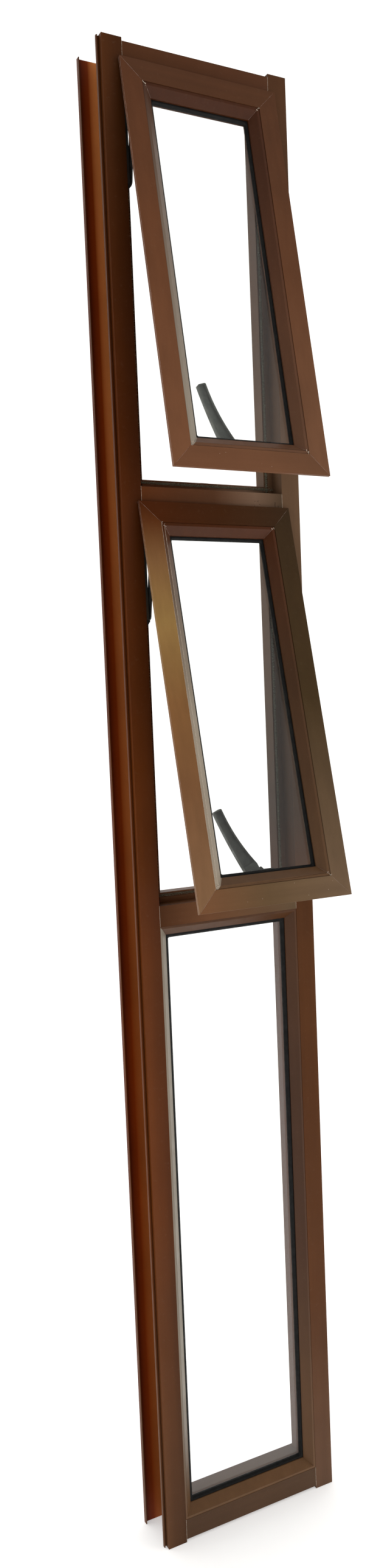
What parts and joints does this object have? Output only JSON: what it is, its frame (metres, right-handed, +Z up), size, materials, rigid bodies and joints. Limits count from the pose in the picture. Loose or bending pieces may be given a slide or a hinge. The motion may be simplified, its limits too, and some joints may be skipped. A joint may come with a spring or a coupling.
{
  "type": "top-hung window unit with two vent sashes",
  "caption": "Tall narrow aluminium window: two outward-opening top-hung sashes on friction stays with cam lever handles, stacked over a fixed light.",
  "frame": {"origin": "middle of the flat underside of the sill rail", "axes": "+X across the window to the right seen from outside, +Y from the outside to the room, +Z up"},
  "size_m": [0.3426, 0.2262, 2.4],
  "materials": {
    "bronze_coat": "satin bronze-brown coating on extruded aluminium",
    "raw_aluminium": "mill finish",
    "stainless_stay": "rolled strip",
    "bright_steel": "zinc plated",
    "handle_zinc": "worn grey coating on die-cast zinc",
    "clear_glass": "clear float",
    "black_gasket": "extruded rubber",
    "pile_seal": "woven pile",
    "dark_nylon": "moulded",
    "glazing_block": "moulded"
  },
  "bodies": {
    "frame": {"fitting_screws": "bright_steel", "fixed_beads": "bronze_coat", "fixed_glass": "clear_glass", "fixed_inner_gasket": "black_gasket", "fixed_outer_gasket": "black_gasket", "fixed_setting_blocks": "glazing_block", "frame_screws": "bright_steel", "head_rail": "bronze_coat", "keepers": "handle_zinc", "left_jamb": "bronze_coat", "lower_left_stay_track": "stainless_stay", "lower_right_stay_track": "stainless_stay", "lower_transom": "bronze_coat", "right_jamb": "bronze_coat", "sill_rail": "bronze_coat", "track_end_blocks": "dark_nylon", "upper_left_stay_track": "stainless_stay", "upper_right_stay_track": "stainless_stay", "upper_transom": "bronze_coat", "vent_pile": "pile_seal"},
    "upper_sash": {"upper_handle_base": "handle_zinc", "upper_handle_pin": "bright_steel", "upper_sash_beads": "bronze_coat", "upper_sash_bottom_rail": "bronze_coat", "upper_sash_corner_cleats": "raw_aluminium", "upper_sash_glass": "clear_glass", "upper_sash_glazing_blocks": "glazing_block", "upper_sash_inner_gasket": "black_gasket", "upper_sash_left_stile": "bronze_coat", "upper_sash_outer_gasket": "black_gasket", "upper_sash_right_stile": "bronze_coat", "upper_sash_screws": "bright_steel", "upper_sash_top_rail": "bronze_coat", "upper_stay_bars": "stainless_stay", "upper_stay_rivets": "bright_steel"},
    "lower_sash": {"lower_handle_base": "handle_zinc", "lower_handle_pin": "bright_steel", "lower_sash_beads": "bronze_coat", "lower_sash_bottom_rail": "bronze_coat", "lower_sash_corner_cleats": "raw_aluminium", "lower_sash_glass": "clear_glass", "lower_sash_glazing_blocks": "glazing_block", "lower_sash_inner_gasket": "black_gasket", "lower_sash_left_stile": "bronze_coat", "lower_sash_outer_gasket": "black_gasket", "lower_sash_right_stile": "bronze_coat", "lower_sash_screws": "bright_steel", "lower_sash_top_rail": "bronze_coat", "lower_stay_bars": "stainless_stay", "lower_stay_rivets": "bright_steel"},
    "lower_left_stay_arm": {"lower_left_stay_arm": "stainless_stay"},
    "lower_left_stay_link": {"lower_left_stay_link": "stainless_stay"},
    "lower_lever": {"lower_lever": "handle_zinc"},
    "lower_right_stay_arm": {"lower_right_stay_arm": "stainless_stay"},
    "lower_right_stay_link": {"lower_right_stay_link": "stainless_stay"},
    "upper_left_stay_arm": {"upper_left_stay_arm": "stainless_stay"},
    "upper_left_stay_link": {"upper_left_stay_link": "stainless_stay"},
    "upper_lever": {"upper_lever": "handle_zinc"},
    "upper_right_stay_arm": {"upper_right_stay_arm": "stainless_stay"},
    "upper_right_stay_link": {"upper_right_stay_link": "stainless_stay"}
  },
  "joints": [
    {"name": "upper_sash_hinge", "type": "hinge", "parent": "frame", "child": "upper_sash", "pos_m": [0, -0.043, 2.36675], "axis": [-1, 0, 0], "range_deg": [-10.7, 17.3]},
    {"name": "upper_lever_pivot", "type": "hinge", "parent": "upper_sash", "child": "upper_lever", "pos_m": [0, -0.11528, 1.76877], "axis": [0, -0.9826, 0.1857], "range_deg": [-106.9, 13.1]},
    {"name": "upper_left_stay_arm_pivot", "type": "hinge", "parent": "upper_sash", "child": "upper_left_stay_arm", "pos_m": [-0.122, -0.04754, 2.28619], "axis": [-1, 0, 0], "range_deg": [-31.7, 19.7]},
    {"name": "upper_left_stay_link_pivot", "type": "hinge", "parent": "upper_sash", "child": "upper_left_stay_link", "pos_m": [-0.122, -0.03492, 2.34487], "axis": [-1, 0, 0], "range_deg": [-30.5, 19]},
    {"name": "upper_right_stay_arm_pivot", "type": "hinge", "parent": "upper_sash", "child": "upper_right_stay_arm", "pos_m": [0.122, -0.04754, 2.28619], "axis": [-1, 0, 0], "range_deg": [-31.7, 19.7]},
    {"name": "upper_right_stay_link_pivot", "type": "hinge", "parent": "upper_sash", "child": "upper_right_stay_link", "pos_m": [0.122, -0.03492, 2.34487], "axis": [-1, 0, 0], "range_deg": [-30.5, 19]},
    {"name": "lower_sash_hinge", "type": "hinge", "parent": "frame", "child": "lower_sash", "pos_m": [0, -0.043, 1.70625], "axis": [-1, 0, 0], "range_deg": [-12.7, 15.3]},
    {"name": "lower_lever_pivot", "type": "hinge", "parent": "lower_sash", "child": "lower_lever", "pos_m": [0, -0.13611, 1.11116], "axis": [0, -0.9755, 0.2198], "range_deg": [-112.8, 7.2]},
    {"name": "lower_left_stay_arm_pivot", "type": "hinge", "parent": "lower_sash", "child": "lower_left_stay_arm", "pos_m": [-0.122, -0.05035, 1.6259], "axis": [-1, 0, 0], "range_deg": [-28.1, 23.4]},
    {"name": "lower_left_stay_link_pivot", "type": "hinge", "parent": "lower_sash", "child": "lower_left_stay_link", "pos_m": [-0.122, -0.03569, 1.6841], "axis": [-1, 0, 0], "range_deg": [-27, 22.5]},
    {"name": "lower_right_stay_arm_pivot", "type": "hinge", "parent": "lower_sash", "child": "lower_right_stay_arm", "pos_m": [0.122, -0.05035, 1.6259], "axis": [-1, 0, 0], "range_deg": [-28.1, 23.4]},
    {"name": "lower_right_stay_link_pivot", "type": "hinge", "parent": "lower_sash", "child": "lower_right_stay_link", "pos_m": [0.122, -0.03569, 1.6841], "axis": [-1, 0, 0], "range_deg": [-27, 22.5]}
  ],
  "couplings": [
    {"joint": "upper_left_stay_arm_pivot", "follows": "upper_sash_hinge", "ratio": -1.815},
    {"joint": "upper_left_stay_link_pivot", "follows": "upper_sash_hinge", "ratio": -1.747},
    {"joint": "upper_right_stay_arm_pivot", "follows": "upper_sash_hinge", "ratio": -1.815},
    {"joint": "upper_right_stay_link_pivot", "follows": "upper_sash_hinge", "ratio": -1.747},
    {"joint": "lower_left_stay_arm_pivot", "follows": "lower_sash_hinge", "ratio": -1.815},
    {"joint": "lower_left_stay_link_pivot", "follows": "lower_sash_hinge", "ratio": -1.747},
    {"joint": "lower_right_stay_arm_pivot", "follows": "lower_sash_hinge", "ratio": -1.815},
    {"joint": "lower_right_stay_link_pivot", "follows": "lower_sash_hinge", "ratio": -1.747}
  ]
}
